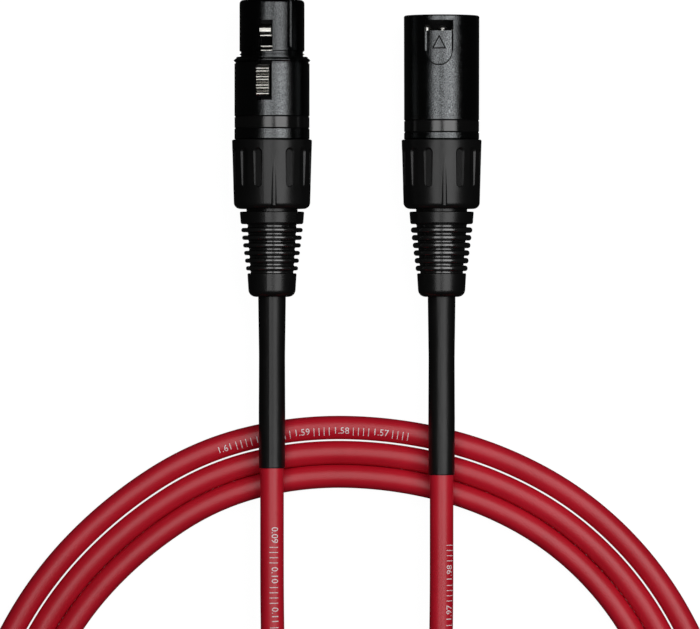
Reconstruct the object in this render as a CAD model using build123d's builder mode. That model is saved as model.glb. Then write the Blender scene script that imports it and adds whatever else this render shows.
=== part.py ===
from build123d import *
import os
from math import cos, pi, radians, sin, tan

# A balanced microphone cable: a three-pole female connector on one end, a three-pole
# male connector on the other, and the cable coiled flat behind them.
# It lies on a surface at Z = 0, with both connectors along Y, mating faces towards +Y.
# Origin: on the surface, midway between the connectors and midway along them.
# Every length is in millimetres and every angle in degrees.

# --- Where the connectors lie -----------------------------------------------------
ends = ("female", "male")
axis_x = {"female": -21.2, "male": 21.2}
axis_height = 10.0                           # the bushings touch the surface
clock = {"female": -11.6, "male": -4.6}      # latch side, turned from the top towards +X
shell_front = {"female": 37.1, "male": 33.2}
shell_rear = 2.28

# --- Shells -------------------------------------------------------------------------
shell_radius = 9.38
thread_radius = 8.7
thread_rear = -5.0
rear_bore = 7.9
nose_radius = 8.12
nose_bore = 7.2
nose_root = 24.35
neck_radius = 7.75
bead_radius = 8.05
bead_forward = 23.5
step_radius = 8.9
rim_radius = 9.55
rim_front = 22.9
rim_groove = 9.1
face_lip = 6.6
cavity_radius = 8.2
cavity_floor = 18.2
cavity_step = 17.4
step_bore = 7.4
ring_rear = {"female": 5.2, "male": 4.2}
ring_width = 2.6
ring_seat = 8.7
ring_gap = 0.28
ring_edge = 0.12
ring_split = 2.0

# --- Latch and its windows (female), window and recess (male) ------------------------
latch_width = 2.9
latch_arm_top = 6.9
latch_arm_bottom = 5.7
latch_tip = 31.0
latch_hook_top = 9.0
latch_shift = 0.2                            # hook and arm, to one side of their window
latch_pivot = (9.5, 6.3)                     # forward, radius
latch_eye_radius = 1.2
latch_pin_radius = 0.6
latch_pin_length = 6.4
latch_pin_gap = 0.05
latch_channel_floor = 3.9
latch_channel_width = 3.9
latch_channel_rear = 7.6
pad_front = 20.8
pad_rear = 12.9
pad_width = 3.2
pad_shift = -0.3
pad_base = 9.2
pad_top = 9.8
pad_crests = (13.48, 14.88, 15.58, 16.98, 17.68, 19.08, 19.78)
crest_width = 0.2
groove_depth = {"wide": 0.42, "narrow": 0.16}
nose_window = (24.05, 31.9, 3.7)             # rear, front, width
pad_window = (11.9, 21.9, 3.9)
spring_forward = 17.0
spring_radius = 1.1
spring_wire = 0.18
spring_floor = 2.2
spring_turns = 4
spring_pocket = 1.5
keyway_clock = clock["female"] + 44.6
keyway_width = 0.7                           # at its floor
keyway_floor = 7.78
key_clock = clock["male"] - 44.6
key_width = 0.6
male_window = (29.2, 31.85, 7.1)
recess_rear = 20.9
recess_width = 6.2                           # at its floor
recess_floor_height = 8.53                   # of the floor along its straight sides
recess_depth = 0.3
recess_side_slope = 25
recess_corner = 2.75
mark_apex = 28.2
mark_base = 24.7
mark_width = 3.6
mark_line = 0.3
mark_depth = 0.25

# --- Insulating inserts and contacts --------------------------------------------------
contact_places = ((3.76, 1.37), (-3.76, 1.37), (0.0, -4.0))   # seen from the male front
side = {"female": -1, "male": 1}             # the female face is its mirror image
insert_clearance = 0.05
insert_rear = 6.0
insert_shoulder = 22.5
insert_face = {"female": 36.8, "male": 18.2}
contact_rear = 2.2
cup_depth = 3.6
cup_radius = 1.55
cup_bore = 1.1
socket_bore = 1.25
socket_radius = 1.75
socket_mouth = 1.9
socket_front = 35.9
socket_floor = 22.5
pin_radius = 1.2
pin_shank_radius = 1.45
pin_tip = 30.9
pin_dome = 1.0

# --- Bushing, boot and chuck ------------------------------------------------------------
thread_gap = 0.08
bushing_front = 2.2
bushing_rear = -15.1
bushing_front_radius = 10.0
bushing_rear_radius = 9.5
bushing_thread_end = -5.4
bushing_cavity = 8.0
bushing_wall_front = -11.4
bushing_rear_bore = 6.45
grip_step = 24.0                             # fifteen places round the bushing
ribs_every = 5                               # every fifth place is a rib, the rest flutes
rib_clock = 3.5
flute_width = 1.6                            # at its flat floor
flute_front = -0.4
flute_rear = -9.6
flute_floor = 9.42
grip_rib_radius = 0.85
grip_rib_top = 9.87
grip_rib_front = -2.0
grip_rib_rear = -14.3
boot_bore = 3.62
boot_neck = 6.4
boot_flange_front = -10.3
boot_flange_radius = 7.9
boot_collar_front = -15.8
boot_collar_rear = -18.9
boot_collar_radius = 8.05
boot_tail_front = -31.2
boot_rear = -37.1
boot_ribs = 6
rib_pitch = 1.91
first_rib = -20.4
groove_rise = 0.45
groove_rounding = 0.5
rib_thickness = {"female": 1.08, "male": 1.4}
rib_tip_radius = (7.68, 6.5)                 # first and last rib
core_radius = {"female": (6.0, 5.25), "male": (6.2, 5.25)}
chuck_front = 1.5
chuck_web = -3.5
chuck_rear = -9.9
chuck_radius = 7.7
chuck_cup = 6.4
chuck_finger_front = 6.8
chuck_finger_rear = 5.6
chuck_slots = 6
chuck_slot_width = 1.2

# --- Cable, sleeves and coil ---------------------------------------------------------
cable_diameter = 5.9
cable_radius = cable_diameter / 2
floor_height = cable_radius + 0.05
sleeve_front = -5.0
sleeve_rear = {"female": -79.9, "male": -81.6}
sleeve_gap = 0.03
jacket_end = -8.0
wire_radius = 0.7
wire_bundle_radius = 1.3
wire_spread_front = 0.5
wire_spread_rear = -4.0
wire_end = 5.0
coil_edge = 2.0
coil_centre = (-1.7, -164.9)
coil_outer = 98.6
turn_gap = 0.3
coil_inner = coil_outer - 3 * cable_diameter - turn_gap

# The leads run straight over the top of the coil, drop inside it and sweep round into it:
# the female lead becomes the innermost turn, the male lead comes off the outermost one.
female_route = (
    (axis_x["female"], jacket_end, axis_height),
    (axis_x["female"], -122, axis_height),
    (-20, -160, floor_height),
    (-11, -195, floor_height),
    (12, -221, floor_height),
    (44, -225, floor_height),
    (69, -205, floor_height),
    (80.5, -175, floor_height),
)
male_route = (
    (axis_x["male"], jacket_end, axis_height),
    (axis_x["male"], -122, axis_height),
    (20, -162, 5.5),
    (9, -199, 8.5),
    (-17, -228, 10.5),
    (-55, -233, 10.5),
    (-83, -212, 9),
    (-92.5, -196, 5.5),
    (-96, -178, floor_height),
)


def axis_line(end):
    return Axis((axis_x[end], 0, axis_height), (0, 1, 0))


def cross_plane(end, forward, turn=None):
    """Across the connector's axis, seen from the front: local Y points at the clock angle."""
    angle = radians(clock[end] if turn is None else turn)
    origin = (axis_x[end], forward, axis_height)
    return Plane(origin=origin, x_dir=(-cos(angle), 0, sin(angle)), z_dir=(0, 1, 0))


def side_plane(end, turn=None):
    """Along the connector's axis: local X is forward and local Y is the radius."""
    angle = radians(clock[end] if turn is None else turn)
    origin = (axis_x[end], 0, axis_height)
    return Plane(origin=origin, x_dir=(0, 1, 0), z_dir=(cos(angle), 0, -sin(angle)))


def top_plane(end, turn=None):
    """Tangent view of the connector: local X is forward and the normal is the radius."""
    angle = radians(clock[end] if turn is None else turn)
    origin = (axis_x[end], 0, axis_height)
    return Plane(origin=origin, x_dir=(0, 1, 0), z_dir=(sin(angle), 0, cos(angle)))


def outline(*corners):
    """A face whose corners are (forward, radius) or (forward, radius, rounding)."""
    points = [corner[:2] for corner in corners]
    roundings = [corner[2] if len(corner) == 3 else 0 for corner in corners]
    with BuildLine() as loop:
        FilletPolyline(*points, radius=roundings, close=True)
    make_face(loop.edges())


def save(piece, name):
    piece.part.label = name
    export_step(piece.part, f"parts/{name}.step")


def arc_radii(route):
    """The largest radius that each corner's two runs allow."""
    points = [Vector(point) for point in route]
    radii = []
    for before, corner, after in zip(points, points[1:], points[2:]):
        run_in, run_out = corner - before, after - corner
        shorter = min(run_in.length, run_out.length)
        radii.append(0.45 * shorter / tan(radians(run_in.get_angle(run_out)) / 2))
    return radii


def contact_place(end, number):
    """Where a contact stands in the connector's cross plane."""
    across, up = contact_places[number - 1]
    return side[end] * across, up


def middle(low, high):
    return (low + high) / 2


os.makedirs("parts", exist_ok=True)

# --- Female shell: zinc casting with a nose, a rim and a threaded tail ----------------
ring_front = {end: ring_rear[end] + ring_width for end in ends}
with BuildPart() as female_housing:
    with BuildSketch(side_plane("female")):
        outline(
            (thread_rear, rear_bore),
            (thread_rear, thread_radius, 0.3),
            (shell_rear, thread_radius),
            (shell_rear, shell_radius, 0.25),
            (ring_rear["female"] - ring_gap, shell_radius, ring_edge),
            (ring_rear["female"] - ring_gap, ring_seat),
            (ring_front["female"] + ring_gap, ring_seat),
            (ring_front["female"] + ring_gap, shell_radius, ring_edge),
            (rim_front - 1.65, shell_radius, 0.1),
            (rim_front - 1.7, rim_groove),
            (rim_front - 1.4, rim_groove),
            (rim_front - 1.0, rim_radius, 0.08),
            (rim_front - 0.8, rim_radius, 0.08),
            (rim_front - 0.3, step_radius, 0.05),
            (rim_front - 0.05, step_radius, 0.08),
            (rim_front, neck_radius + 0.05),
            (bead_forward - 0.2, neck_radius),
            (bead_forward - 0.1, bead_radius, 0.05),
            (bead_forward + 0.1, bead_radius, 0.05),
            (bead_forward + 0.2, neck_radius),
            (nose_root - 0.2, neck_radius),
            (nose_root, nose_radius, 0.1),
            (shell_front["female"], nose_radius, 1.0),
            (shell_front["female"], face_lip, 0.2),
            (shell_front["female"] - 0.6, face_lip),
            (shell_front["female"] - 0.6, nose_bore),
            (insert_shoulder + 0.1, nose_bore),
            (insert_shoulder + 0.1, rear_bore),
        )
    revolve(axis=axis_line("female"))
    for rear, front, width in (nose_window, pad_window):
        with BuildSketch(side_plane("female")):
            with Locations((middle(rear, front), 8.5)):
                Rectangle(front - rear, 5)
        extrude(amount=width / 2, both=True, mode=Mode.SUBTRACT)
    keyway_length = shell_front["female"] - nose_root - 0.6
    with BuildSketch(top_plane("female", keyway_clock).offset(keyway_floor)):
        with Locations((shell_front["female"] - keyway_length / 2 + 0.5, 0)):
            Rectangle(keyway_length, keyway_width)
    extrude(amount=1, taper=-45, mode=Mode.SUBTRACT)
save(female_housing, "female_housing")

# --- Male shell: a plain tube with the latch window, the thumb recess and the key ------
recess_slope = shell_radius - recess_depth - recess_floor_height
with BuildPart() as thumb_recess:
    with BuildSketch(top_plane("male").offset(recess_floor_height)) as recess_shape:
        with Locations((middle(recess_rear + recess_slope, male_window[0]), 0)):
            Rectangle(male_window[0] - recess_rear - recess_slope, recess_width)
        fillet(recess_shape.vertices().group_by(Axis.X)[0], recess_corner)
    extrude(amount=1.5, taper=-45)
    with BuildSketch(cross_plane("male", recess_rear + recess_slope + recess_corner)):
        rise = tan(radians(recess_side_slope))
        floor_end, brim_end = recess_width / 2, recess_width / 2 + 1
        with BuildLine():
            Polyline(
                (-floor_end, recess_floor_height),
                (-brim_end, recess_floor_height + rise),
                (brim_end, recess_floor_height + rise),
                (floor_end, recess_floor_height),
                close=True,
            )
        make_face()
    extrude(amount=male_window[1] - recess_rear - recess_slope - recess_corner)
    with BuildSketch(cross_plane("male", recess_rear - 2)):
        Circle(shell_radius - recess_depth)
    extrude(amount=male_window[1] - recess_rear + 2, mode=Mode.SUBTRACT)

with BuildPart() as direction_mark:
    with BuildSketch(top_plane("male")) as mark_shape:
        with BuildLine():
            Polyline(
                (mark_apex, 0),
                (mark_base, mark_width / 2),
                (mark_base, -mark_width / 2),
                close=True,
            )
        make_face()
        offset(amount=-mark_line, mode=Mode.SUBTRACT)
    extrude(amount=shell_radius)
    with BuildSketch(cross_plane("male", mark_base - 1)):
        Circle(shell_radius - recess_depth - mark_depth)
    extrude(amount=mark_apex - mark_base + 2, mode=Mode.SUBTRACT)

with BuildPart() as male_housing:
    with BuildSketch(side_plane("male")):
        outline(
            (thread_rear, rear_bore),
            (thread_rear, thread_radius, 0.3),
            (shell_rear, thread_radius),
            (shell_rear, shell_radius, 0.25),
            (ring_rear["male"] - ring_gap, shell_radius, ring_edge),
            (ring_rear["male"] - ring_gap, ring_seat),
            (ring_front["male"] + ring_gap, ring_seat),
            (ring_front["male"] + ring_gap, shell_radius, ring_edge),
            (shell_front["male"], shell_radius + 0.05, 0.45),
            (shell_front["male"], cavity_radius, 0.25),
            (cavity_floor, cavity_radius),
            (cavity_floor, step_bore),
            (cavity_step, step_bore),
            (cavity_step, rear_bore),
        )
    revolve(axis=axis_line("male"))
    with BuildSketch(side_plane("male")):
        with Locations((middle(male_window[0], male_window[1]), 9)):
            Rectangle(male_window[1] - male_window[0], 4)
    extrude(amount=male_window[2] / 2, both=True, mode=Mode.SUBTRACT)
    add(thumb_recess.part, mode=Mode.SUBTRACT)
    add(direction_mark.part, mode=Mode.SUBTRACT)
    with BuildSketch(side_plane("male", key_clock)):
        with Locations((middle(cavity_floor, shell_front["male"] - 2), cavity_radius)):
            Rectangle(shell_front["male"] - 2 - cavity_floor, 0.9)
    extrude(amount=key_width / 2, both=True)
save(male_housing, "male_housing")

# --- Insulating inserts: moulded blocks that hold the contacts ------------------------
with BuildPart() as female_insert:
    with BuildSketch(side_plane("female")):
        outline(
            (insert_rear, 0),
            (insert_rear, rear_bore - insert_clearance, 0.2),
            (insert_shoulder, rear_bore - insert_clearance),
            (insert_shoulder, nose_bore - insert_clearance),
            (shell_front["female"] - 0.65, nose_bore - insert_clearance),
            (shell_front["female"] - 0.65, face_lip - insert_clearance),
            (insert_face["female"], face_lip - insert_clearance, 0.2),
            (insert_face["female"], 0),
        )
    revolve(axis=axis_line("female"))
    with BuildSketch(cross_plane("female", insert_rear)):
        with Locations([contact_place("female", number) for number in (1, 2, 3)]):
            Circle(socket_radius + 0.03)
    extrude(amount=socket_front + 0.05 - insert_rear, mode=Mode.SUBTRACT)
    with BuildSketch(cross_plane("female", socket_front)):
        with Locations([contact_place("female", number) for number in (1, 2, 3)]):
            Circle(socket_mouth)
    extrude(amount=2, mode=Mode.SUBTRACT)
    with BuildSketch(side_plane("female")):
        with Locations((middle(latch_channel_rear, nose_window[1] + 0.1), latch_channel_floor + 3)):
            Rectangle(nose_window[1] + 0.1 - latch_channel_rear, 6)
    extrude(amount=latch_channel_width / 2, both=True, mode=Mode.SUBTRACT)
    with BuildSketch(side_plane("female")):
        with Locations(latch_pivot):
            Circle(latch_pin_radius)
    extrude(amount=latch_pin_length / 2, both=True, mode=Mode.SUBTRACT)
    with BuildSketch(top_plane("female").offset(spring_floor)):
        with Locations((spring_forward, 0)):
            Circle(spring_pocket)
    extrude(amount=4, mode=Mode.SUBTRACT)
save(female_insert, "female_insert")

with BuildPart() as male_insert:
    with BuildSketch(side_plane("male")):
        outline(
            (insert_rear, 0),
            (insert_rear, rear_bore - insert_clearance, 0.2),
            (cavity_step - 0.05, rear_bore - insert_clearance),
            (cavity_step - 0.05, step_bore - insert_clearance),
            (insert_face["male"], step_bore - insert_clearance, 0.2),
            (insert_face["male"], 0),
        )
    revolve(axis=axis_line("male"))
    with BuildSketch(cross_plane("male", insert_rear)):
        with Locations([contact_place("male", number) for number in (1, 2, 3)]):
            Circle(cup_radius + 0.03)
    extrude(amount=3.05, mode=Mode.SUBTRACT)
    with BuildSketch(cross_plane("male", insert_rear)):
        with Locations([contact_place("male", number) for number in (1, 2, 3)]):
            Circle(pin_shank_radius + 0.02)
    extrude(amount=insert_face["male"] - insert_rear, mode=Mode.SUBTRACT)
save(male_insert, "male_insert")

# --- Contacts: turned sockets and pins, each with a solder cup at the rear ------------
for number in (1, 2, 3):
    with BuildPart() as female_contact:
        with BuildSketch(cross_plane("female", contact_rear)):
            with Locations(contact_place("female", number)):
                Circle(cup_radius)
        extrude(amount=insert_rear + 1 - contact_rear)
        with BuildSketch(cross_plane("female", insert_rear + 1)):
            with Locations(contact_place("female", number)):
                Circle(socket_radius)
        extrude(amount=socket_front - insert_rear - 1)
        with BuildSketch(cross_plane("female", socket_floor)):
            with Locations(contact_place("female", number)):
                Circle(socket_bore)
        extrude(amount=socket_front - socket_floor, mode=Mode.SUBTRACT)
        with BuildSketch(cross_plane("female", contact_rear)):
            with Locations(contact_place("female", number)):
                Circle(cup_bore)
        extrude(amount=cup_depth, mode=Mode.SUBTRACT)
    save(female_contact, f"female_contact_{number}")

    with BuildPart() as male_pin:
        with BuildSketch(cross_plane("male", contact_rear)):
            with Locations(contact_place("male", number)):
                Circle(cup_radius)
        extrude(amount=insert_rear + 3 - contact_rear)
        with BuildSketch(cross_plane("male", insert_rear + 3)):
            with Locations(contact_place("male", number)):
                Circle(pin_shank_radius)
        extrude(amount=insert_face["male"] - insert_rear - 3)
        with BuildSketch(cross_plane("male", insert_face["male"])):
            with Locations(contact_place("male", number)):
                Circle(pin_radius)
        extrude(amount=pin_tip - insert_face["male"])
        fillet(male_pin.edges().group_by(Axis.Y)[-1], pin_dome)
        with BuildSketch(cross_plane("male", contact_rear)):
            with Locations(contact_place("male", number)):
                Circle(cup_bore)
        extrude(amount=cup_depth, mode=Mode.SUBTRACT)
    save(male_pin, f"male_pin_{number}")

# --- Latch: a rocking lever with a hook at the nose and a ridged thumb pad -------------
def serrated_pad():
    """The thumb pad's outline: flat crests with sloping grooves between them."""
    points = [(pad_rear, latch_arm_top - 0.2), (pad_rear, pad_base)]
    for crest, following in zip(pad_crests, pad_crests[1:] + (None,)):
        points += [(crest - crest_width / 2, pad_top), (crest + crest_width / 2, pad_top)]
        if following:
            gap = "wide" if following - crest > 1 else "narrow"
            points.append((middle(crest, following), pad_top - groove_depth[gap]))
    return points + [(pad_front, pad_base - 0.2), (pad_front, latch_arm_top - 0.2)]


with BuildPart() as female_latch:
    with BuildSketch(side_plane("female").offset(latch_shift)):
        outline(
            (latch_pivot[0], latch_arm_bottom),
            (latch_tip, latch_arm_bottom, 0.3),
            (latch_tip, latch_arm_top + 0.5),
            (latch_tip - 1.1, latch_hook_top, 0.3),
            (latch_tip - 2.2, latch_hook_top, 0.6),
            (latch_tip - 2.9, latch_hook_top - 0.75),
            (latch_tip - 3.15, latch_hook_top - 0.75),
            (latch_tip - 3.2, latch_arm_top + 0.15),
            (latch_tip - 4.3, latch_arm_top - 0.5),
            (latch_tip - 5.4, latch_arm_top + 0.1),
            (latch_tip - 5.55, latch_arm_top + 0.6, 0.05),
            (latch_tip - 5.75, latch_arm_top + 0.6, 0.05),
            (latch_tip - 6.2, latch_arm_top + 0.1),
            (latch_tip - 6.6, latch_arm_top + 0.6, 0.05),
            (latch_tip - 6.8, latch_arm_top + 0.6, 0.05),
            (latch_tip - 6.95, latch_arm_top),
            (latch_pivot[0], latch_arm_top),
        )
        with Locations(latch_pivot):
            Circle(latch_eye_radius)
    extrude(amount=latch_width / 2, both=True)
    with BuildSketch(side_plane("female").offset(pad_shift)):
        with BuildLine():
            Polyline(*serrated_pad(), close=True)
        make_face()
    extrude(amount=pad_width / 2, both=True)
    with BuildSketch(side_plane("female")):
        with Locations(latch_pivot):
            Circle(latch_pin_radius + latch_pin_gap)
    extrude(amount=latch_width, both=True, mode=Mode.SUBTRACT)
save(female_latch, "female_latch")

with BuildPart() as female_latch_pin:
    with BuildSketch(side_plane("female")):
        with Locations(latch_pivot):
            Circle(latch_pin_radius)
    extrude(amount=latch_pin_length / 2, both=True)
save(female_latch_pin, "female_latch_pin")

spring_height = latch_arm_bottom - spring_floor - 2 * spring_wire - 0.04
spring_foot = top_plane("female").from_local_coords((spring_forward, 0, spring_floor + spring_wire + 0.02))
with BuildPart() as female_latch_spring:
    with BuildLine() as spring_path:
        Helix(
            pitch=spring_height / spring_turns,
            height=spring_height,
            radius=spring_radius,
            center=spring_foot,
            direction=top_plane("female").z_dir,
        )
    with BuildSketch(Plane(origin=spring_path.line @ 0, z_dir=spring_path.line % 0)):
        Circle(spring_wire)
    sweep(is_frenet=True)
save(female_latch_spring, "female_latch_spring")

# --- Pieces that both connectors share -------------------------------------------------
def grooved_core(front, rear):
    """The boot's core between collar and tail: a rounded groove on each side of every rib."""
    points = []
    for groove in range(boot_ribs + 1):
        depth = front + groove / boot_ribs * (rear - front)
        forward = first_rib + (0.5 - groove) * rib_pitch
        points.append((forward, depth, groove_rounding))
        if groove < boot_ribs:
            points.append((forward - 0.5 * rib_pitch, depth + groove_rise))
    return points


for end in ends:
    with BuildPart() as coding_ring:
        with BuildSketch(cross_plane(end, ring_rear[end])):
            Circle(shell_radius - 0.02)
            Circle(ring_seat + 0.05, mode=Mode.SUBTRACT)
            with Locations((0, -shell_radius)):
                Rectangle(ring_split, 4, mode=Mode.SUBTRACT)
        extrude(amount=ring_width)
    save(coding_ring, f"{end}_coding_ring")

    with BuildPart() as chuck:
        with BuildSketch(side_plane(end)):
            outline(
                (chuck_front, chuck_cup),
                (chuck_front, chuck_radius, 0.2),
                (chuck_web, chuck_radius),
                (chuck_web - 1.0, chuck_finger_front),
                (chuck_rear, chuck_finger_rear),
                (chuck_rear, boot_bore),
                (chuck_web, boot_bore),
                (chuck_web, chuck_cup),
            )
        revolve(axis=axis_line(end))
        with BuildSketch(cross_plane(end, chuck_rear)):
            with PolarLocations(boot_bore + 2, chuck_slots):
                Rectangle(6, chuck_slot_width)
        extrude(amount=chuck_web - 1.5 - chuck_rear, mode=Mode.SUBTRACT)
    save(chuck, f"{end}_chuck")

    with BuildPart() as flutes:
        for place in range(1, 15):
            if place % ribs_every:
                with BuildSketch(top_plane(end, rib_clock + place * grip_step).offset(flute_floor)):
                    with Locations((middle(flute_front, flute_rear), 0)):
                        SlotOverall(flute_front - flute_rear, flute_width)
                extrude(amount=0.8, taper=-45)

    with BuildPart() as bushing:
        with BuildSketch(side_plane(end)):
            outline(
                (bushing_front, thread_radius + thread_gap),
                (bushing_front, bushing_front_radius, 0.35),
                (bushing_rear, bushing_rear_radius, 1.6),
                (bushing_rear, bushing_rear_bore, 0.2),
                (bushing_wall_front, bushing_rear_bore),
                (bushing_wall_front, bushing_cavity),
                (bushing_thread_end, bushing_cavity),
                (bushing_thread_end, thread_radius + thread_gap),
            )
        revolve(axis=axis_line(end))
        for place in range(0, 15, ribs_every):
            with BuildSketch(cross_plane(end, grip_rib_rear, rib_clock + place * grip_step)):
                with Locations((0, grip_rib_top - grip_rib_radius)):
                    Circle(grip_rib_radius)
            extrude(amount=grip_rib_front - grip_rib_rear)
        with BuildSketch(cross_plane(end, bushing_thread_end)):
            Circle(thread_radius + thread_gap)
        extrude(amount=bushing_front - bushing_thread_end, mode=Mode.SUBTRACT)
        add(flutes.part, mode=Mode.SUBTRACT)
    save(bushing, f"{end}_bushing")

    thickness = rib_thickness[end]
    core_front, core_rear = core_radius[end]
    with BuildPart() as boot:
        with BuildSketch(side_plane(end)):
            outline(
                (boot_flange_front, boot_bore),
                (boot_flange_front, boot_flange_radius),
                (bushing_wall_front + 0.02, boot_flange_radius),
                (bushing_wall_front + 0.02, boot_neck),
                (boot_collar_front, boot_neck),
                (boot_collar_front, boot_collar_radius, 0.3),
                (boot_collar_rear, boot_collar_radius - 0.25, 0.5),
                (boot_collar_rear, core_front + groove_rise / 2),
                *grooved_core(core_front, core_rear),
                (boot_tail_front, core_rear + groove_rise / 3),
                (boot_tail_front, 6.15, 0.3),
                (boot_rear + 0.25, 5.8, 1.8),
                (boot_rear, boot_bore + 0.35, 0.15),
                (boot_rear, boot_bore),
            )
            for rib in range(boot_ribs):
                share = rib / (boot_ribs - 1)
                tip = rib_tip_radius[0] + share * (rib_tip_radius[1] - rib_tip_radius[0])
                root = core_front + share * (core_rear - core_front) - 0.6
                with Locations((first_rib - rib * rib_pitch, middle(root, tip))):
                    RectangleRounded(thickness, tip - root, 0.46 * thickness)
        revolve(axis=axis_line(end))
    save(boot, f"{end}_boot")

    with BuildPart() as sleeve:
        with BuildSketch(side_plane(end)):
            outline(
                (sleeve_front, cable_radius + sleeve_gap),
                (sleeve_front, 3.45, 0.2),
                (boot_rear - 1, 3.45),
                (boot_rear - 15, 3.26),
                (sleeve_rear[end] + 14, 3.32),
                (sleeve_rear[end], 3.28, 0.2),
                (sleeve_rear[end], cable_radius + sleeve_gap),
            )
        revolve(axis=axis_line(end))
    save(sleeve, f"{end}_sleeve")

    for number in (1, 2, 3):
        across, up = contact_place(end, number)
        reach = (across ** 2 + up ** 2) ** 0.5
        bundle = wire_bundle_radius / reach
        plane = cross_plane(end, 0)
        route = [
            plane.from_local_coords((bundle * across, bundle * up, jacket_end)),
            plane.from_local_coords((bundle * across, bundle * up, wire_spread_rear)),
            plane.from_local_coords((across, up, wire_spread_front)),
            plane.from_local_coords((across, up, wire_end)),
        ]
        with BuildPart() as wire:
            with BuildLine() as wire_path:
                FilletPolyline(*route, radius=arc_radii(route))
            with BuildSketch(cross_plane(end, jacket_end)):
                with Locations((bundle * across, bundle * up)):
                    Circle(wire_radius)
            sweep()
        save(wire, f"{end}_wire_{number}")

# --- Cable: two leads as tubes and the flat coil as one ring ----------------------------
for end, route in (("female", female_route), ("male", male_route)):
    with BuildPart() as lead:
        with BuildLine() as lead_path:
            FilletPolyline(*route, radius=arc_radii(route))
        with BuildSketch(Plane(origin=route[0], z_dir=(0, -1, 0))):
            Circle(cable_radius)
        sweep()
    save(lead, f"cable_lead_{end}")
    length = lead_path.wires()[0].length
    expected = pi * cable_radius ** 2 * length
    print(end, "lead length", round(length, 1), "mm")
    print(end, "lead volume ratio", round(lead.part.volume / expected, 4))
    print(end, "lead radii", [round(radius, 1) for radius in arc_radii(route)])

with BuildPart() as coil:
    with BuildSketch(Plane.XY):
        with Locations(coil_centre):
            Circle(coil_outer)
            Circle(coil_inner, mode=Mode.SUBTRACT)
    extrude(amount=cable_diameter)
    fillet(coil.edges().filter_by(GeomType.CIRCLE), coil_edge)
save(coil, "cable_coil")
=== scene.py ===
# %% [markdown]
# # A balanced microphone cable, coiled flat
# On the bench lie a female connector, a male connector and a flat coil of red cable.
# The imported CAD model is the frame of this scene: it fixes each size and each place.
# What it lacks is looks: one unbroken cable instead of tubes and a ring, a finish for
# each material, small moulded detail, a floor, lights and a camera.

# %% Load the frame
import bpy
import bmesh
from math import cos, dist, pi, radians, sin, tan
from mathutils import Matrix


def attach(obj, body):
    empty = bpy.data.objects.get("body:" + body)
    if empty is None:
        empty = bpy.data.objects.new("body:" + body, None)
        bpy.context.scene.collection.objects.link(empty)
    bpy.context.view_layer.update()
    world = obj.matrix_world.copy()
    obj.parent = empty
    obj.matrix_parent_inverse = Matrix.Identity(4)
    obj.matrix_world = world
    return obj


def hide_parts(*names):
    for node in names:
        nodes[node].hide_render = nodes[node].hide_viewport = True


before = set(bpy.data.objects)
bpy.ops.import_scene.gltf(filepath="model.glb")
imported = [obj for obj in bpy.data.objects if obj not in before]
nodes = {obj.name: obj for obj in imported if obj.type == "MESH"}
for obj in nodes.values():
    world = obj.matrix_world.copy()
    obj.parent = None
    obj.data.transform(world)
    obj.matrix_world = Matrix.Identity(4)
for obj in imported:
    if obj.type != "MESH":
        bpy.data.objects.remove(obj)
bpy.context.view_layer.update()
scene = bpy.context.scene

# %% [markdown]
# ## The view
# A product picture of a cable is taken from straight above with a long lens, so that
# neither connector leans away. A camera that isn't turned looks down -Z with +Y up the
# picture, which is just that. The lens sets how far it stands back.

# %% Camera
picture_width = 0.175                    # metres across the picture at the connectors
connector_height = 0.010                 # of both connectors' axes above the floor
picture_centre = (-0.0017, -0.0415)
lens_mm, sensor_mm = 400, 36
camera_data = bpy.data.cameras.new("camera")
camera_data.lens = lens_mm
camera_data.sensor_width = sensor_mm
camera_data.clip_end = 20
camera = bpy.data.objects.new("camera", camera_data)
camera.location = (*picture_centre, connector_height + picture_width * lens_mm / sensor_mm)
scene.collection.objects.link(camera)
scene.camera = camera
print("camera stands", round(camera.location.z, 2), "m above the floor")

# %% [markdown]
# ## The cable
# A microphone cable is 5.9 mm of soft PVC over a screen and two cores. Two metres of it
# leave the female connector, wind into a flat coil of three turns and come back to the
# male one. It could be a swept tube, but a rounded polyline looks like bent wire. A
# NURBS curve of order 3 bends everywhere a little, as PVC does. Its control points are
# the route of the CAD leads, and a loop adds the turns between them.

# %% The route
cable_diameter = 0.0059
floor_height = 0.0030
female_route = [
    (-0.0212, -0.008, 0.010), (-0.0212, -0.084, 0.010), (-0.0212, -0.122, 0.010),
    (-0.020, -0.160, floor_height), (-0.011, -0.195, floor_height),
    (0.012, -0.221, floor_height), (0.044, -0.225, floor_height),
    (0.069, -0.205, floor_height), (0.0805, -0.175, floor_height),
]
male_route = [
    (0.0212, -0.008, 0.010), (0.0212, -0.084, 0.010), (0.0212, -0.122, 0.010),
    (0.020, -0.162, 0.0055), (0.009, -0.199, 0.0085), (-0.017, -0.228, 0.0105),
    (-0.055, -0.233, 0.0105), (-0.083, -0.212, 0.009), (-0.0925, -0.196, 0.0055),
    (-0.096, -0.178, floor_height),
]
coil_centre = (-0.0017, -0.1649)
turn_radii = (0.08350, 0.08940, 0.09568, 0.09568)
points_a_turn = 24
first_point, last_point = 1, 60          # from just past the inner end to the outer end
start_clock = -7                         # degrees round the coil where point 0 would be
step_out = (200, 340)                    # degrees over which a turn moves out by one
# A hand-wound coil isn't a true circle: millimetres out or in at these degrees.
hand_wound = {30: -0.4, 45: 0.1, 60: 0.1, 75: -0.6, 90: -1.0, 105: -0.3,
              120: 0.45, 135: -0.4, 150: -0.3, 165: -0.1}
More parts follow.
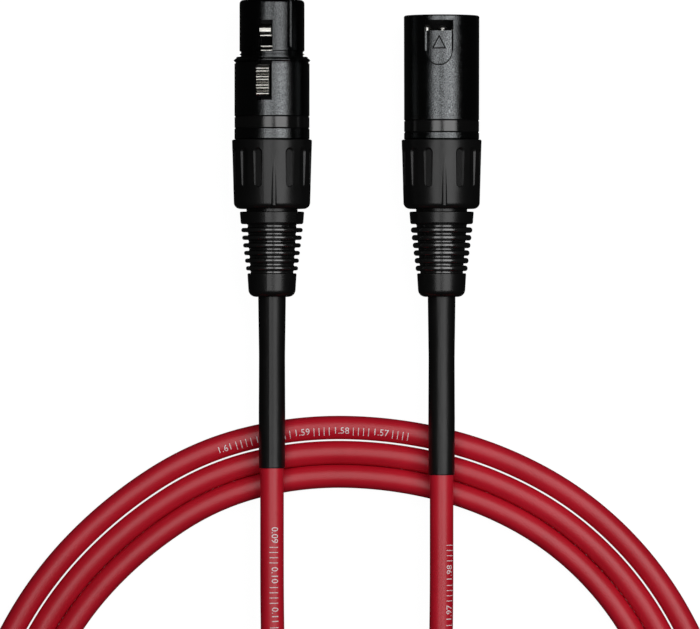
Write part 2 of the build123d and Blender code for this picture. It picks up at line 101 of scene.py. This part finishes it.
# A curve of order 3 passes this far out between points that stand on a circle.
pull = 0.75 + 0.25 * cos(2 * pi / points_a_turn)
coil_route = []
for point in range(first_point, last_point + 1):
    turned = point * 360 / points_a_turn + start_clock
    turn, clock = int(turned // 360), turned % 360
    share = min(max((clock - step_out[0]) / (step_out[1] - step_out[0]), 0), 1)
    share = share * share * (3 - 2 * share)      # eased in and out
    radius = turn_radii[turn] * (1 - share) + turn_radii[turn + 1] * share
    nearest = min(hand_wound, key=lambda place: abs(place - clock))
    if abs(nearest - clock) < 180 / points_a_turn:
        radius += hand_wound[nearest] / 1000
    reach = radius / pull
    coil_route.append((coil_centre[0] + reach * cos(radians(turned)),
                       coil_centre[1] + reach * sin(radians(turned)), floor_height))
print("route:", len(female_route), "+", len(coil_route), "+", len(male_route), "points")

# %% The curve
cable_data = bpy.data.curves.new("cable", "CURVE")
cable_data.dimensions = "3D"
cable_data.resolution_u = 12
spline = cable_data.splines.new("NURBS")
route = female_route + coil_route + male_route[::-1]
spline.points.add(len(route) - 1)
for place, point in zip(spline.points, route):
    place.co = (*point, 1)
spline.order_u = 3
spline.use_endpoint_u = True
spline.use_smooth = True
cable = bpy.data.objects.new("cable", cable_data)
scene.collection.objects.link(cable)
path_mesh = bpy.data.meshes.new_from_object(cable)
path = [vertex.co.copy() for vertex in path_mesh.vertices]
print("cable:", round(spline.calc_length(), 3), "m long,", len(path), "points read from it")

# %% The jacket's thickness
cable_data.bevel_depth = cable_diameter / 2
cable_data.bevel_resolution = 10
cable_data.use_fill_caps = True
print("jacket:", cable_diameter * 1000, "mm across")

# %% [markdown]
# ## Shader maths
# Each finish is a small tree of nodes. To write it as sums, a Value wraps one socket and
# turns + - * > < into Math nodes. A Finish holds the tree: `node` adds any node at all,
# `blend` mixes two colours, and `paint` joins a result to the shader.

# %% Value
class Value:
    """One output socket of a finish's node tree."""

    def __init__(self, finish, socket):
        self.finish, self.socket = finish, socket

    def maths(self, operation, first, second):
        return self.finish.node("Math", {"operation": operation}, {0: first, 1: second})

    def __add__(self, other):
        return self.maths("ADD", self, other)

    def __sub__(self, other):
        return self.maths("SUBTRACT", self, other)

    def __rsub__(self, other):
        return self.maths("SUBTRACT", other, self)

    def __mul__(self, other):
        return self.maths("MULTIPLY", self, other)

    def __gt__(self, other):
        return self.maths("GREATER_THAN", self, other)

    def __lt__(self, other):
        return self.maths("LESS_THAN", self, other)

    __radd__, __rmul__ = __add__, __mul__


print("sums ready: + - * > <")


# %% Finish
class Finish:
    """A material being built round its Principled shader."""

    def __init__(self, name, **constants):
        self.material = bpy.data.materials.new(name)
        self.material.use_nodes = True
        self.tree = self.material.node_tree
        self.shader = self.tree.nodes["Principled BSDF"]
        for socket, value in constants.items():
            self.paint(socket.replace("_", " "), value)

    def node(self, kind, settings=None, inputs=None, output=0):
        made = self.tree.nodes.new("ShaderNode" + kind)
        for name, value in (settings or {}).items():
            setattr(made, name, value)
        for socket, value in (inputs or {}).items():
            self.join(value, made.inputs[socket])
        return Value(self, made.outputs[output])

    def join(self, value, socket):
        if isinstance(value, Value):
            self.tree.links.new(value.socket, socket)
        else:
            socket.default_value = value

    def paint(self, socket, value):
        self.join(value, self.shader.inputs[socket])

    def maths_of(self, operation, value):
        return self.node("Math", {"operation": operation}, {0: value})

    def place(self, stretch=(1, 1, 1)):
        """The piece's own coordinates in metres; a grain gets longer where stretch is below 1."""
        own = self.node("TexCoord", output="Object")
        return self.node("Mapping", None, {"Vector": own, "Scale": stretch})

    def grain(self, place, scale, detail=2.0, roughness=0.5):
        """Soft random bumps from 0 to 1; scale is how many of them fit in a metre."""
        inputs = {"Vector": place, "Scale": scale, "Detail": detail, "Roughness": roughness}
        return self.node("TexNoise", {"normalize": True}, inputs, "Fac")

    def part(self, vector, axis):
        """One of a vector's three numbers."""
        return self.node("SeparateXYZ", None, {"Vector": vector}, axis)

    def blend(self, share, first, second):
        """A mix of two colours."""
        return self.node("Mix", {"data_type": "RGBA"}, {0: share, 6: first, 7: second}, 2)

    def spread(self, value, low, high, start=0.0, end=1.0):
        """value, from start to end, mapped to low to high and held there."""
        inputs = {"Value": value, "From Min": start, "From Max": end,
                  "To Min": low, "To Max": high}
        return self.node("MapRange", {"clamp": True}, inputs)

    def emboss(self, height, depth, strength=1.0):
        """Bumps on the surface, depth metres high where height is 1."""
        bump = self.node("Bump", None, {"Height": height, "Distance": depth, "Strength": strength})
        self.paint("Normal", bump)


def grey(level):
    return (level, level, level, 1)


print("finish tools ready")

# %% [markdown]
# ## Black shells
# Both shells are zinc castings, plated and lacquered satin black. The lacquer reflects
# about a tenth of the light, far more than plastic, so the shell is a dark metal here.
# Fine orange peel breaks up its highlight, and the casting's skin is not equally smooth
# everywhere, so slow noise drifts the roughness. A mask by the distance from the axis
# paints the bores, the ring's seat and the engraved lines near-black as shade, and dulls them.

# %% Satin black lacquer
lacquer = Finish("satin_black_lacquer", Metallic=1.0)
skin = lacquer.place()
peel = lacquer.grain(skin, 4400, 1.5)
drift = lacquer.grain(skin, 160, 3)
coat = lacquer.blend(lacquer.spread(peel, 0, 1, 0.35, 0.65),
                     (0.046, 0.048, 0.050, 1), (0.140, 0.146, 0.149, 1))

# Painted shade starts at a distance from the connector's axis that is just under the
# shell's surface. The female nose is a smaller tube; its coat is painted darker as shade,
# where the light falls off towards the front.
connector_x = 0.0212                     # each connector's axis is this far from the middle
shade_within, nose_step = 0.0090, 0.0015
nose_starts, nose_shade = 0.0214, 0.35
painted_shade = grey(0.006)
across, along, up = (lacquer.part(skin, axis) for axis in ("X", "Y", "Z"))
sideways = lacquer.maths_of("ABSOLUTE", across) - connector_x
upward = up - connector_height
from_axis = lacquer.maths_of("SQRT", sideways * sideways + upward * upward)
on_nose = (across < 0.0) * (along > nose_starts)
# The mask of the painted shade in the bores, on the ring's seat and in the engraved lines.
dull = from_axis < shade_within - nose_step * on_nose
# Painted shade: the nose's coat is blended towards the shade colour.
coat = lacquer.blend(nose_shade * on_nose, coat, painted_shade)
lacquer.paint("Base Color", lacquer.blend(dull, coat, painted_shade))
gloss = lacquer.spread(drift, 0.11, 0.16, 0.3, 0.7)
lacquer.paint("Roughness", gloss + 0.04 * peel + 0.3 * dull)
lacquer.emboss(peel + 0.4 * lacquer.grain(skin, 9000, 1), 0.00006, 0.6)
print("lacquer:", len(lacquer.tree.nodes), "nodes, bare inside", shade_within * 1000, "mm")

# %% [markdown]
# ## Black plastics and rubber
# The bushing is moulded nylon with a finely eroded skin, the boot a softer rubber, and
# the sleeve heat-shrunk tube. They differ in how grey they are, how rough they are, how
# coarse and deep their grain is and how much they reflect, so one recipe takes those.

# %% Plastics
def moulded(name, base, rough, grains_a_metre, depth, index, stretch=(1, 1, 1)):
    """A matt moulding: mottled a little in colour and sheen, with a fine grain."""
    finish = Finish(name, IOR=index)
    surface = finish.place(stretch)
    grain = finish.grain(surface, grains_a_metre, 2)
    mottle = finish.grain(finish.place(), 220, 3)
    finish.paint("Base Color", finish.blend(mottle, grey(base * 0.75), grey(base * 1.25)))
    finish.paint("Roughness", finish.spread(mottle, rough - 0.05, rough + 0.05) + 0.06 * grain)
    finish.emboss(grain, depth, 0.6)
    return finish


bushing_nylon = moulded("bushing_nylon", 0.0040, 0.30, 3800, 0.00003, 1.48)
boot_rubber = moulded("boot_rubber", 0.0040, 0.26, 3000, 0.00003, 1.50)
shrink_tube = moulded("shrink_tube", 0.0040, 0.34, 900, 0.00008, 1.46, (1, 0.12, 1))
ring_plastic = moulded("ring_plastic", 0.0040, 0.10, 4400, 0.00003, 1.75)
insert_plastic = moulded("insert_plastic", 0.006, 0.55, 4200, 0.00004, 1.46)
# Painted shade: a near-black matt for the lips, in place of the shade in the rings' gaps.
gap_shade_matt = moulded("gap_shade_matt", 0.0030, 0.85, 3800, 0.00003, 1.15)
chuck_acetal = moulded("chuck_acetal", 0.60, 0.42, 3000, 0.00002, 1.48)
print("plastics: seven from one recipe")

# %% The boot's sheen
# The mould's polished inserts leave the boot's ribs and grooves shinier than its ends.
ribs_start, ribs_end = -0.0190, -0.0312
boot_rubber.paint("Coat IOR", 1.9)
boot_rubber.paint("Coat Roughness", 0.18)
along = boot_rubber.part(boot_rubber.place(), "Y")
boot_rubber.paint("Coat Weight", 0.9 * (along < ribs_start) * (along > ribs_end))
print("sheen over", round((ribs_start - ribs_end) * 1000, 1), "mm of ribs")

# %% [markdown]
# ## Metals and wire
# The pins are silver-plated and turned, so fine rings run round them. The latch is
# polished nickel where it is rubbed. The cable's two cores are red and white, and its
# screen is bare copper.

# %% Bright metals
def plated(name, colour, rough, stretch):
    """Polished plate, with fine lines along one direction."""
    finish = Finish(name, Metallic=1.0)
    lines = finish.grain(finish.place(stretch), 2600, 2)
    cloud = finish.grain(finish.place(), 500, 2)
    dull = tuple(0.8 * c for c in colour[:3]) + (1,)
    finish.paint("Base Color", finish.blend(cloud, dull, colour))
    finish.paint("Roughness", finish.spread(lines, rough * 0.6, rough * 1.5))
    finish.emboss(lines, 0.00001, 0.4)
    return finish


pin_silver = plated("pin_silver", (0.62, 0.61, 0.58, 1), 0.24, (0.1, 1.5, 0.1))
contact_bronze = plated("contact_bronze", (0.80, 0.64, 0.36, 1), 0.18, (0.1, 1.5, 0.1))
screen_copper = plated("screen_copper", (0.74, 0.46, 0.30, 1), 0.30, (1, 0.2, 1))
print("plates: silver, bronze, copper")

# %% The latch
# Its arm is blackened; the pad and the hook, which thumbs and shells rub, are bright nickel.
# The split goes by distance from the connector's axis, so the low parts, the arm under the
# shell's window and the valleys between the pad's crests, are also painted near-black as
# shade. The hook and the pad's crests stand further from the axis than the arm does.
latch_clock = radians(-11.6)             # the latch is turned this far round the axis
# Painted shade: nearer the axis than these, the latch is near-black.
hook_shade_edge, pad_shade_edge = 0.00735, 0.00870         # how far out the plating shows
pad_ends = 0.0230
latch_nickel = Finish("latch_nickel", Metallic=1.0)
own = latch_nickel.place()
lines = latch_nickel.grain(latch_nickel.place((0.2, 1, 1)), 3000, 2)
raised = (sin(latch_clock) * (latch_nickel.part(own, "X") + connector_x)
          + cos(latch_clock) * (latch_nickel.part(own, "Z") - connector_height))
on_pad = latch_nickel.part(own, "Y") < pad_ends
rubbed_above_shade = raised > hook_shade_edge + (pad_shade_edge - hook_shade_edge) * on_pad
nickel = latch_nickel.blend(latch_nickel.spread(lines, 0, 1, 0.3, 0.7),
                            (0.62, 0.60, 0.56, 1), (0.88, 0.86, 0.81, 1))
# Painted shade below the edges, nickel above them.
latch_nickel.paint("Base Color", latch_nickel.blend(rubbed_above_shade, grey(0.008), nickel))
latch_nickel.paint("Roughness", latch_nickel.spread(lines, 0.12, 0.26) + 0.3 * (1 - rubbed_above_shade))
latch_nickel.emboss(lines, 0.00001, 0.4)
print("latch:", len(latch_nickel.tree.nodes), "nodes")

# %% Wire insulation
def insulated(name, deep, light):
    finish = Finish(name)
    mottle = finish.grain(finish.place(), 600, 2)
    finish.paint("Base Color", finish.blend(mottle, deep, light))
    finish.paint("Roughness", finish.spread(mottle, 0.34, 0.46))
    finish.emboss(finish.grain(finish.place(), 4000, 2), 0.00002, 0.4)
    return finish


wire_red = insulated("wire_red", (0.42, 0.02, 0.02, 1), (0.52, 0.03, 0.03, 1))
wire_white = insulated("wire_white", (0.72, 0.71, 0.68, 1), (0.82, 0.81, 0.78, 1))
print("insulation: red and white")

# %% [markdown]
# ## Red jacket
# The jacket is matt red PVC. Its grain is finer than the shells', it is a little darker
# where it was handled, and its highlight is wide and weak.

# %% Jacket
jacket = Finish("red_jacket", IOR=1.55)
surface = jacket.place()
fine = jacket.grain(surface, 3600, 2)
slow = jacket.grain(surface, 70, 4)
handled, fresh = (0.505, 0.0050, 0.018, 1), (0.580, 0.0070, 0.024, 1)
jacket.paint("Base Color", jacket.blend(jacket.spread(slow, 0, 1, 0.3, 0.7), handled, fresh))
jacket.paint("Roughness", jacket.spread(slow, 0.32, 0.40) + 0.06 * fine)
jacket.emboss(fine + 0.5 * jacket.grain(surface, 900, 2), 0.00004, 0.5)
cable_data.materials.append(jacket.material)
print("jacket:", len(jacket.tree.nodes), "nodes")

# %% Finishes on the CAD nodes
finish_of_slot = {
    "shell": lacquer, "ring_plastic": ring_plastic, "insert_plastic": insert_plastic,
    "bushing_plastic": bushing_nylon, "chuck_plastic": chuck_acetal,
    "boot_rubber": boot_rubber, "shrink_sleeve": shrink_tube,
    "contact_metal": contact_bronze, "pin_metal": pin_silver, "latch_steel": latch_nickel,
    "cable_jacket": jacket, "wire_screen": screen_copper, "wire_red": wire_red,
    "wire_white": wire_white,
}
for node in nodes.values():
    for place, old in enumerate(node.data.materials):
        node.data.materials[place] = finish_of_slot[old.name.split(".")[0]].material
print("painted", len(nodes), "nodes")

# %% [markdown]
# ## Lips beside the coding rings
# A coding ring snaps into a groove that is a little wider than it is. In CAD the gap on
# each side is a bare clearance. A lip fills it here to just under the lacquer, as a plain
# band, and rides with the shell; its near-black matt stands in for the shade in the gap.

# %% Ring lips
ring_ends = {"female": (0.0052, 0.0078), "male": (0.0042, 0.0068)}     # rear and front
ring_axis = {"female": -connector_x, "male": connector_x}
gap, play = 0.00028, 0.00002             # a lip is as wide as the gap, less its play
seat_radius, lip_radius = 0.00870, 0.00918
lip_steps = 96


def add_band(corners, faces, axis_x, near, far):
    """Adds a flat band round a connector's axis to the lists, closed all round."""
    first = len(corners)
    outline = [(seat_radius, near), (lip_radius, near), (lip_radius, far), (seat_radius, far)]
    for step in range(lip_steps):
        angle = 2 * pi * step / lip_steps
        for radius, y in outline:
            corners.append((axis_x + radius * cos(angle), y,
                            connector_height + radius * sin(angle)))
        here, there = first + 4 * step, first + 4 * ((step + 1) % lip_steps)
        for edge in range(4):
            following = (edge + 1) % 4
            faces.append((here + edge, here + following, there + following, there + edge))


for end, (rear, front) in ring_ends.items():
    corners, faces = [], []
    add_band(corners, faces, ring_axis[end], rear - gap, rear - play)
    add_band(corners, faces, ring_axis[end], front + play, front + gap)
    lip_mesh = bpy.data.meshes.new(end + "_ring_lips")
    lip_mesh.from_pydata(corners, [], faces)
    # The lips' near-black matt is painted shade for the gap.
    lip_mesh.materials.append(gap_shade_matt.material)
    lips = bpy.data.objects.new(end + "_ring_lips", lip_mesh)
    scene.collection.objects.link(lips)
    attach(lips, "cable")
    print(lips.name, len(faces), "faces")

# %% [markdown]
# ## The printed scale
# A drum prints the jacket as it is made: white ink, a film some hundredths of a
# millimetre thick, along one side. The real print is left out; in its place is a plain
# length scale. Geometry Nodes sets the text flat, gives it its thickness and then bends
# it round the jacket and along the cable, so the letters follow each curve.

# %% The path as a curve
path_mesh.name = "cable_path"
path_object = bpy.data.objects.new("cable_path", path_mesh)
scene.collection.objects.link(path_object)
travelled = [0.0]
for here, there in zip(path, path[1:]):
    travelled.append(travelled[-1] + dist(here, there))


def length_at(x, y):
    """How far along the cable the path comes nearest to a point seen from above."""
    nearest = min(range(len(path)), key=lambda point: dist(path[point][:2], (x, y)))
    return travelled[nearest]


print("path:", round(travelled[-1], 3), "m")

# %% The scale's node tree
scale_tree = bpy.data.node_groups.new("printed_scale", "GeometryNodeTree")
sockets = {}
for label, kind in (("Path", "NodeSocketObject"), ("Text", "NodeSocketString"),
                    ("Letter height", "NodeSocketFloat"), ("Start", "NodeSocketFloat"),
                    ("Direction", "NodeSocketFloat"), ("Clock", "NodeSocketFloat"),
                    ("Jacket radius", "NodeSocketFloat"), ("Ink", "NodeSocketFloat"),
                    ("Colour", "NodeSocketMaterial")):
    made = scale_tree.interface.new_socket(label, in_out="INPUT", socket_type=kind)
    sockets[label] = made.identifier
scale_tree.interface.new_socket("Geometry", in_out="OUTPUT", socket_type="NodeSocketGeometry")
given = scale_tree.nodes.new("NodeGroupInput")


def geometry_node(kind, inputs=None, output=0, **settings):
    """Adds a node; an input is a socket to link or a plain value."""
    made = scale_tree.nodes.new(kind)
    for name, value in settings.items():
        setattr(made, name, value)
    for socket, value in (inputs or {}).items():
        if isinstance(value, bpy.types.NodeSocket):
            scale_tree.links.new(value, made.inputs[socket])
        else:
            made.inputs[socket].default_value = value
    return made.outputs[output]


def sum_node(operation, first, second):
    return geometry_node("ShaderNodeMath", {0: first, 1: second}, operation=operation)


def vector_node(operation, inputs, output="Vector"):
    return geometry_node("ShaderNodeVectorMath", inputs, output, operation=operation)


print("inputs:", list(sockets))

# %% Flat letters with a thickness
text = geometry_node("GeometryNodeStringToCurves",
                     {"String": given.outputs["Text"], "Size": given.outputs["Letter height"]},
                     "Curve Instances", align_y="MIDDLE")
flat = geometry_node("GeometryNodeRealizeInstances", {"Geometry": text})
flat = geometry_node("GeometryNodeSetSplineResolution", {0: flat, "Resolution": 3})
flat = geometry_node("GeometryNodeFillCurve", {"Curve": flat}, "Mesh")
flat = geometry_node("GeometryNodeSubdivideMesh", {"Mesh": flat, "Level": 2}, "Mesh")
top = geometry_node("GeometryNodeExtrudeMesh",
                    {"Mesh": flat, "Offset": (0, 0, 1), "Offset Scale": given.outputs["Ink"],
                     "Individual": False}, "Mesh")
underside = geometry_node("GeometryNodeFlipFaces", {"Mesh": flat}, "Mesh")
both = scale_tree.nodes.new("GeometryNodeJoinGeometry")
scale_tree.links.new(top, both.inputs[0])
scale_tree.links.new(underside, both.inputs[0])
letters = geometry_node("GeometryNodeMergeByDistance",
                        {"Geometry": both.outputs[0], "Distance": 1e-7})
print("letters are closed films")

# %% Bent along the cable
sunk_share = 0.4                         # how much of the ink's thickness is in the jacket
place = geometry_node("GeometryNodeInputPosition")
split = scale_tree.nodes.new("ShaderNodeSeparateXYZ")
scale_tree.links.new(place, split.inputs[0])
path_input = geometry_node("GeometryNodeObjectInfo", {"Object": given.outputs["Path"]}, "Geometry")
route_curve = geometry_node("GeometryNodeMeshToCurve", {"Mesh": path_input})
sample = scale_tree.nodes.new("GeometryNodeSampleCurve")
sample.mode = "LENGTH"
scale_tree.links.new(route_curve, sample.inputs["Curves"])
gone = sum_node("MULTIPLY", split.outputs["X"], given.outputs["Direction"])
scale_tree.links.new(sum_node("ADD", gone, given.outputs["Start"]), sample.inputs["Length"])
ahead = vector_node("NORMALIZE", {0: vector_node("SCALE", {
    0: sample.outputs["Tangent"], "Scale": given.outputs["Direction"]})})
left = vector_node("NORMALIZE", {0: vector_node("CROSS_PRODUCT", {0: (0, 0, 1), 1: ahead})})
above = vector_node("CROSS_PRODUCT", {0: ahead, 1: left})
turn = sum_node("ADD", given.outputs["Clock"],
                sum_node("DIVIDE", split.outputs["Y"], given.outputs["Jacket radius"]))
sunk = sum_node("MULTIPLY", given.outputs["Ink"], sunk_share)
reach = sum_node("ADD", given.outputs["Jacket radius"],
                 sum_node("SUBTRACT", split.outputs["Z"], sunk))
upright = geometry_node("ShaderNodeMath", {0: turn}, operation="COSINE")
sidelong = geometry_node("ShaderNodeMath", {0: turn}, operation="SINE")
outward = vector_node("ADD", {0: vector_node("SCALE", {0: above, "Scale": upright}),
                              1: vector_node("SCALE", {0: left, "Scale": sidelong})})
bent = vector_node("ADD", {0: sample.outputs["Position"],
                           1: vector_node("SCALE", {0: outward, "Scale": reach})})
wrapped = geometry_node("GeometryNodeSetPosition", {"Geometry": letters, "Position": bent})
wrapped = geometry_node("GeometryNodeRealizeInstances", {"Geometry": wrapped})
painted = geometry_node("GeometryNodeSetMaterial",
                        {"Geometry": wrapped, "Material": given.outputs["Colour"]})
result = scale_tree.nodes.new("NodeGroupOutput")
scale_tree.links.new(painted, result.inputs[0])
print("tree:", len(scale_tree.nodes), "nodes")

# %% Ink
ink = Finish("white_ink")
worn = ink.grain(ink.place(), 5200, 2)
ink.paint("Base Color", ink.blend(ink.spread(worn, 0, 1, 0.4, 0.6),
                                  (0.72, 0.56, 0.58, 1), (0.94, 0.90, 0.91, 1)))
ink.paint("Roughness", ink.spread(worn, 0.45, 0.65))
ink.emboss(worn, 0.00001, 0.4)
print("ink:", len(ink.tree.nodes), "nodes")

# %% Print the three stretches that show
letter_height, ink_thickness = 0.0024, 0.00003
marks = {                                # start, direction, centimetres, degrees round
    "coil": (length_at(-0.0355, -0.0754), -1, 5, -16),
    "female_lead": (length_at(-0.0212, -0.0925), 1, 5, 13),
    "male_lead": (length_at(0.0212, -0.1270), 1, 3, -43),
}
printed = []
for stretch, (start, direction, centimetres, clock) in marks.items():
    text_line = " ".join(f"{start + direction * step / 100:.2f} | | | |"
                         for step in range(centimetres))
    blank = bpy.data.objects.new("scale_" + stretch, bpy.data.meshes.new("scale_" + stretch))
    scene.collection.objects.link(blank)
    modifier = blank.modifiers.new("printed_scale", "NODES")
    modifier.node_group = scale_tree
    values = {"Path": path_object, "Text": text_line, "Letter height": letter_height,
              "Start": start, "Direction": float(direction), "Clock": radians(clock),
              "Jacket radius": cable_diameter / 2, "Ink": ink_thickness,
              "Colour": ink.material}
    for label, value in values.items():
        modifier[sockets[label]] = value
    evaluated = blank.evaluated_get(bpy.context.evaluated_depsgraph_get())
    plain = bpy.data.meshes.new_from_object(evaluated)
    blank.modifiers.remove(modifier)
    blank.data = plain
    printed.append(blank)
    print(stretch, "from", round(start, 3), "m:", len(plain.polygons), "faces")

# %% One piece of ink
ink_mesh = bmesh.new()
for blank in printed:
    ink_mesh.from_mesh(blank.data)
scale_print = bpy.data.objects.new("printed_scale", bpy.data.meshes.new("printed_scale"))
ink_mesh.to_mesh(scale_print.data)
ink_mesh.free()
scale_print.data.materials.append(ink.material)
scene.collection.objects.link(scale_print)
for spent in printed + [path_object]:
    bpy.data.objects.remove(spent)
print("print:", len(scale_print.data.polygons), "faces")

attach(scale_print, "cable")
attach(cable, "cable")
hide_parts("cable_lead_female", "cable_coil", "cable_lead_male")

# %% [markdown]
# ## Floor and light
# The bench is a plain white sheet. Two long softboxes hang over it, side by side, with
# the lens looking down between them: that gap is the dark line in each highlight. The
# floor is kept out of reflections, so the sides of the black shells stay black, and it
# glows a little, which lifts the shadows as a light table does.

# %% Floor
floor_mesh = bpy.data.meshes.new("floor")
half = 3.0                               # metres from the middle to each side
floor_mesh.from_pydata([(-half, -half, 0), (half, -half, 0), (half, half, 0), (-half, half, 0)],
                       [], [(0, 1, 2, 3)])
floor = bpy.data.objects.new("floor", floor_mesh)
scene.collection.objects.link(floor)
white = Finish("bench_white", Roughness=0.9, Emission_Strength=1.0)
white.paint("Base Color", grey(0.08))
to_lens = white.node("LightPath", output="Is Camera Ray")
white.paint("Emission Color", white.blend(to_lens, grey(0), grey(0.96)))
floor_mesh.materials.append(white.material)
floor.visible_glossy = False
print("floor:", 2 * half, "m square")

# %% Softboxes
light_height, light_forward = 0.45, 0.06           # above the connectors, towards +Y


def softbox(name, from_angle, to_angle, radiance, length=0.6):
    """An area light seen from the middle of the bench between two angles from overhead."""
    low, high = light_height * tan(radians(from_angle)), light_height * tan(radians(to_angle))
    data = bpy.data.lights.new(name, "AREA")
    data.shape = "RECTANGLE"
    data.size, data.size_y = high - low, length
    data.energy = radiance * pi * data.size * data.size_y      # watts
    lamp = bpy.data.objects.new(name, data)
    lamp.location = ((low + high) / 2, light_forward, connector_height + light_height)
    scene.collection.objects.link(lamp)


softbox("softbox_left", -26, -0.5, 2.0)
softbox("softbox_right", 7.5, 46, 2.4)
print("lights:", len(bpy.data.lights))

# %% The dark studio
studio = bpy.data.worlds.new("studio")
studio.use_nodes = True
links, ray = studio.node_tree.links, studio.node_tree.nodes.new("ShaderNodeLightPath")
seen = studio.node_tree.nodes["Background"].inputs["Color"]
for kind, level in (("Is Camera Ray", 0.8), ("Is Glossy Ray", 0.012)):
    mix = studio.node_tree.nodes.new("ShaderNodeMix")
    mix.data_type = "RGBA"
    links.new(ray.outputs[kind], mix.inputs[0])
    mix.inputs[7].default_value = grey(level)
    links.new(mix.outputs[2], seen)
    seen = mix.inputs[6]
seen.default_value = grey(0.05)
scene.world = studio
scene.view_settings.view_transform = "Standard"
print("world: dark in reflections, pale to the lens")
